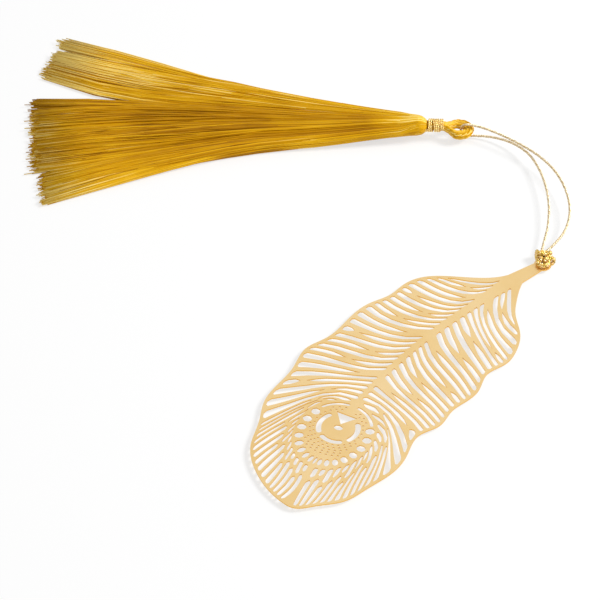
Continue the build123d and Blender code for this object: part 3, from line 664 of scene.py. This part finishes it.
class SkirtLock:
    """The threads of one lock. Arrays have a row for each thread and a column for each of its stations."""

    def __init__(self, rows, look):
        self.rows = rows
        self.look = look
        self.thread_count = look["threads"]
        self.across = rng.random(self.thread_count)
        self.level = rng.random(self.thread_count) ** LEVEL_POWER
        self.clump = np.floor(self.across * look["clumps"]).astype(int)
        self.along = self.stations()
        self.share = (self.along - SKIRT_START) / SKIRT_LENGTH
        self.gathered = ease(self.share / GATHER_SHARE)
        self.place = self.clumped()
        self.is_wisp = (rng.random(self.thread_count) < look["wisps"]) & (self.across < WISP_EDGE)
        self.place = self.place - self.is_wisp[:, None] * self.each(*WISP_REACH) * self.gathered
        self.wave = self.waves()

    def each(self, low, high):
        """A random value for each thread."""
        return rng.uniform(low, high, self.thread_count)[:, None]

    def each_clump(self, low, high):
        """A random value for each thread that its whole clump shares."""
        return rng.uniform(low, high, self.look["clumps"])[self.clump][:, None]

    def stations(self):
        """Stations of each thread from the neck to its end."""
        spread = rng.normal(0.0, END_SPREAD, self.thread_count)
        ends = SKIRT_START + SKIRT_LENGTH * self.rows[-1][STATION] * (1 + spread)
        ends = ends - np.interp(self.across, [0, 1], self.look["trims"])
        is_short = rng.random(self.thread_count) < SHORT_PART
        ends = np.where(is_short, ends * rng.uniform(*SHORT_LENGTHS, self.thread_count), ends)
        return STATIONS[0] + RUN[None, :] * (ends - STATIONS[0])[:, None]

    def clumped(self):
        """Shares across the lock from its far edge, where threads drift and draw together in clumps."""
        clump_middle = (self.clump + 0.5) / self.look["clumps"]
        drift = rng.normal(0.0, DRIFT, self.thread_count)[:, None]
        pull = CLUMP_PULL * (clump_middle - self.across)[:, None] + drift
        return np.clip(self.across[:, None] + pull * self.gathered, -EDGE_SLACK, 1 + EDGE_SLACK)

    def waves(self):
        """Millimetres that each thread waves to the side."""
        size = self.each(*WAVE_SIZES)
        turns = self.each(*WAVE_COUNTS) * self.share + self.each(0.0, 1.0)
        return size * np.sin(2 * math.pi * turns)

    def sways(self):
        """Millimetres that each clump sways to the side."""
        turns = self.each_clump(*SWAY_COUNTS) * self.share + self.each_clump(0.0, 1.0)
        return self.each_clump(*SWAY_SIZES) * np.sin(2 * math.pi * turns)

    def sideways(self):
        """Millimetres across the tassel: threads wave, clumps sway, and both part at the slits."""
        far = row_values(self.rows, FAR_EDGE, self.share)
        near = row_values(self.rows, NEAR_EDGE, self.share)
        inside = np.sqrt(np.clip(4 * self.place * (1 - self.place), 0.0, 1.0))
        loose = between((SWAY_AT_EDGE, 1.0), inside)
        lock_y = (far + (near - far) * self.place) * SKIRT_HALF_WIDTH
        lock_y = lock_y + (self.wave + self.sways()) * loose * ease(self.share * SWAY_GROWTH)
        for slit, half_width, start in self.look["slits"]:
            near_slit = np.exp(-np.abs(self.place - slit) / SLIT_REACH)
            apart = np.sign(self.place[:, -1:] - slit) * near_slit
            lock_y = lock_y + half_width * apart * ease_over(self.share, (start, SLIT_END))
        return lock_y

    def upward(self):
        """Millimetres up from the tassel's axis: a crowned top, and a near edge that can roll under."""
        height = row_values(self.rows, HEIGHT, self.share)
        crown = row_values(self.rows, CROWN, self.share)
        relief = (1 - self.each_clump(*CLUMP_HEIGHTS)) * between((RELIEF_AT_NECK, 1.0), self.gathered)
        thick = height * SKIRT_HEIGHT * (1 - relief)
        top = thick * (1 - crown * np.minimum((2 * self.place - 1) ** 2, 1.0))
        top = np.where(self.place < 0.0, WISP_TOP * top, top)
        neck_lift = NECK_LIFT * (1 - ease(self.share / NECK_LIFT_SHARE))
        room = np.maximum(top - 2 * THREAD_RADIUS - neck_lift, 0.0)
        near_part = np.clip(self.place, 0.0, 1.0) ** 2
        rolled = self.look["roll"] * (1 - ease(self.share / ROLL_SHARE)) * near_part
        lock_z = SKIRT_BASE + THREAD_RADIUS + neck_lift
        lock_z = lock_z + room * (0.5 + (self.level[:, None] - 0.5) * np.sqrt(1 - rolled))
        return lock_z + WAVE_LIFT * np.abs(self.wave) * ease(self.share * SWAY_GROWTH)

    def paths(self):
        """Paths of the threads in metres, from the neck over the round shoulder into the lock."""
        lock_y = self.sideways()
        lock_z = self.upward()
        edges = [self.rows[0][FAR_EDGE], self.rows[0][NEAR_EDGE]]
        start_y = np.interp(self.across, [0, 1], edges) * SKIRT_HALF_WIDTH / SHOULDER_HALF_WIDTH
        start_z = (self.level - 0.5) * 2.0
        norm = np.maximum(np.hypot(start_y, start_z), 1.0)
        start_y = (start_y / norm)[:, None]
        start_z = (start_z / norm)[:, None]
        flat = np.where(start_z > 0, SHOULDER_ABOVE, SHOULDER_BELOW)
        swell = np.interp(self.along, SHOULDER_STATIONS, SHOULDER_RADII)
        weight = ease_over(self.along, SHOULDER_END)
        y = start_y * swell * (1 - weight) + lock_y * weight
        z = start_z * swell * flat * (1 - weight) + lock_z * weight
        return in_tassel(np.stack([self.along, y, z], axis=-1)) * MM

    def tones(self):
        """A tone at each station: yarn bands, painted shade by level, a lighter edge, a painted shoulder
        highlight, paler ends.
        """
        band_count = BANDS_IN_CLUMP * self.look["clumps"]
        band = np.floor(self.across * band_count).astype(int)
        tones = rng.normal(self.look["tone"], TONE_SPREAD, self.thread_count)
        tones = tones + rng.normal(0.0, BAND_SPREAD, band_count)[band]
        # Painted shade and light: low threads darker, high threads lighter
        tones = tones + LEVEL_SHADE * (self.level - 0.5)
        far_light, near_light = self.look["edge_light"]
        edge_light = np.interp(self.across, EDGE_LIGHT_PLACES, [far_light, 0.0, 0.0, near_light])
        edge_light = edge_light[:, None] * ease(RUN / EDGE_LIGHT_RUN)
        # Painted highlight on the shoulder's cap, fading along the run, then lighter cut ends
        shoulder = self.look["shoulder_highlight"]
        lights = [shoulder, SHOULDER_HIGHLIGHT_SHARE * shoulder, 0.0, 0.0, END_LIGHT]
        cap_highlight_and_tips = np.interp(RUN, CAP_HIGHLIGHT_AND_TIP_RUN, lights)
        pale_light = np.interp(RUN, [0.0, self.look["pale_from"], 1.0], [0.0, 0.0, PALE_LIGHT])
        is_pale = (rng.random(band_count) < PALE_PART)[band] | self.is_wisp
        tones = tones[:, None] + edge_light + cap_highlight_and_tips[None, :] + is_pale[:, None] * pale_light[None, :]
        tones = tones + shimmer_rng.normal(0.0, SHIMMER, tones.shape)
        return np.clip(tones, 0.0, LIGHTEST_TONE)

    def shape(self):
        """All threads as (vertices, faces, tones)."""
        paths = self.paths()
        side, top = level_frames(paths)
        radii = THREAD_RADIUS * MM * np.interp(RUN, *THREAD_TAPER)[None, :] * self.each(*THREAD_SIZES)
        verts, faces = tube_rings(paths, side, top, radii, THREAD_CORNERS)
        return verts, faces, np.repeat(self.tones().reshape(-1), THREAD_CORNERS)


def skirt_lock(name, node, rows, look):
    lock = make_object(name, SkirtLock(rows, look).shape(), SKIRT_SILK)
    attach(lock, "tassel")
    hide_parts(node)


# Each lock: its threads, its clumps at the ends, how much shorter its far and near edges are cut, the tone
# of its yarn, lighter tones at its far and near edges, a painted highlight on the shoulder, where pale ends
# begin, the part of the far edge's threads that stand apart, how much the near edge rolls under at the
# neck, and its slits (place across, half width, where they start)
FAR_LOOK = {
    "threads": 900, "clumps": 7, "trims": (5.5, 0.5), "tone": 0.41, "edge_light": (0.16, 0.0),
    "shoulder_highlight": 0.22, "pale_from": 0.5, "wisps": 0.3, "roll": 0.0, "slits": [(0.17, 0.9, 0.60)],
}
MIDDLE_LOOK = {
    "threads": 1150, "clumps": 10, "trims": (-0.5, 2.5), "tone": 0.12, "edge_light": (0.0, 0.0),
    "shoulder_highlight": 0.56, "pale_from": 0.80, "wisps": 0.0, "roll": 0.0,
    "slits": [(0.11, 0.8, 0.80), (0.55, 0.5, 0.85)],
}
NEAR_LOOK = {
    "threads": 650, "clumps": 5, "trims": (0.5, 2.0), "tone": 0.27, "edge_light": (0.0, 0.22),
    "shoulder_highlight": 0.14, "pale_from": 0.62, "wisps": 0.0, "roll": 0.8,
    "slits": [(0.16, 1.0, 0.74), (0.62, 0.5, 0.80)],
}
skirt_lock("skirt_far_threads", "skirt_far_lock", FAR_LOCK, FAR_LOOK)
skirt_lock("skirt_middle_threads", "skirt_middle_lock", MIDDLE_LOCK, MIDDLE_LOOK)
skirt_lock("skirt_near_threads", "skirt_near_lock", NEAR_LOCK, NEAR_LOOK)

# Floor: white, and partly aglow where the camera and the gold see it
HALF_FLOOR = 1.5
FLOOR_GLOW_SHARE = 0.66
floor_corners = [
    (-HALF_FLOOR, -HALF_FLOOR), (HALF_FLOOR, -HALF_FLOOR),
    (HALF_FLOOR, HALF_FLOOR), (-HALF_FLOOR, HALF_FLOOR),
]
floor_mesh = bpy.data.meshes.new("floor")
floor_mesh.from_pydata([(x, y, TABLE_LEVEL * MM) for x, y in floor_corners], [], [(0, 1, 2, 3)])
floor = bpy.data.objects.new("floor", floor_mesh)
bpy.context.scene.collection.objects.link(floor)
floor_material, floor_nodes, floor_links, floor_shader = new_material("floor_white")
floor_shader.inputs["Base Color"].default_value = (0.95, 0.95, 0.95, 1.0)
floor_shader.inputs["Roughness"].default_value = 0.9
floor_shader.inputs["Specular IOR Level"].default_value = 0.0
floor_glow = floor_nodes.new("ShaderNodeEmission")
floor_rays = floor_nodes.new("ShaderNodeLightPath").outputs
floor_seen = math_value(
    floor_nodes, floor_links, "MAXIMUM", floor_rays["Is Camera Ray"], floor_rays["Is Glossy Ray"]
)
floor_share = math_value(floor_nodes, floor_links, "MULTIPLY", floor_seen, FLOOR_GLOW_SHARE)
floor_mix = floor_nodes.new("ShaderNodeMixShader")
floor_links.new(floor_share, floor_mix.inputs["Fac"])
floor_links.new(floor_shader.outputs["BSDF"], floor_mix.inputs[1])
floor_links.new(floor_glow.outputs["Emission"], floor_mix.inputs[2])
floor_links.new(floor_mix.outputs["Shader"], floor_nodes["Material Output"].inputs["Surface"])
floor_mesh.materials.append(floor_material)

# Camera
AZIMUTH = math.radians(36.5)
ELEVATION = math.radians(44.0)
DISTANCE = 0.940
FIELD_OF_VIEW = math.radians(10.0)
AIM = Vector((-0.03635, 0.00496, 0.0))
RIGHT = Vector((math.cos(AZIMUTH), math.sin(AZIMUTH), 0.0))
AWAY = Vector((-math.sin(AZIMUTH), math.cos(AZIMUTH), 0.0))
toward = Vector((
    math.sin(AZIMUTH) * math.cos(ELEVATION), -math.cos(AZIMUTH) * math.cos(ELEVATION), math.sin(ELEVATION)
))
camera_data = bpy.data.cameras.new("camera")
camera_data.sensor_fit = "HORIZONTAL"
camera_data.angle = FIELD_OF_VIEW
camera = bpy.data.objects.new("camera", camera_data)
bpy.context.scene.collection.objects.link(camera)
camera.location = AIM + toward * DISTANCE
camera.rotation_euler = (-toward).to_track_quat("-Z", "Y").to_euler()
bpy.context.scene.camera = camera

# Key light, above and to the right of the view
KEY_PLACE = RIGHT * 0.74 + AWAY * 0.06 + Vector((0.0, 0.0, 0.64))
KEY_SIZE = 0.30
KEY_ENERGY = 8.0
key_data = bpy.data.lights.new("key", "AREA")
key_data.size = KEY_SIZE
key_data.energy = KEY_ENERGY
key = bpy.data.objects.new("key", key_data)
key.location = AIM + KEY_PLACE
key.rotation_euler = KEY_PLACE.to_track_quat("Z", "Y").to_euler()
bpy.context.scene.collection.objects.link(key)

# White world: its strength as light, in mirrored views of it, and 1 where the camera sees it
DOME_LIGHT = 0.56
DOME_MIRRORED = 0.87
world = bpy.data.worlds.new("studio")
bpy.context.scene.world = world
world.use_nodes = True
world_nodes = world.node_tree.nodes
world_links = world.node_tree.links
background = world_nodes["Background"]
background.inputs["Color"].default_value = (1.0, 1.0, 1.0, 1.0)
world_rays = world_nodes.new("ShaderNodeLightPath").outputs
world_mirrored = math_value(
    world_nodes, world_links, "MAXIMUM", world_rays["Is Glossy Ray"], world_rays["Is Transmission Ray"]
)
world_dome = math_value(
    world_nodes, world_links, "MULTIPLY_ADD", world_mirrored, DOME_MIRRORED - DOME_LIGHT, DOME_LIGHT
)
world_seen = math_value(world_nodes, world_links, "MAXIMUM", world_rays["Is Camera Ray"], world_dome)
world_links.new(world_seen, background.inputs["Strength"])

bpy.context.scene.view_settings.view_transform = "Standard"
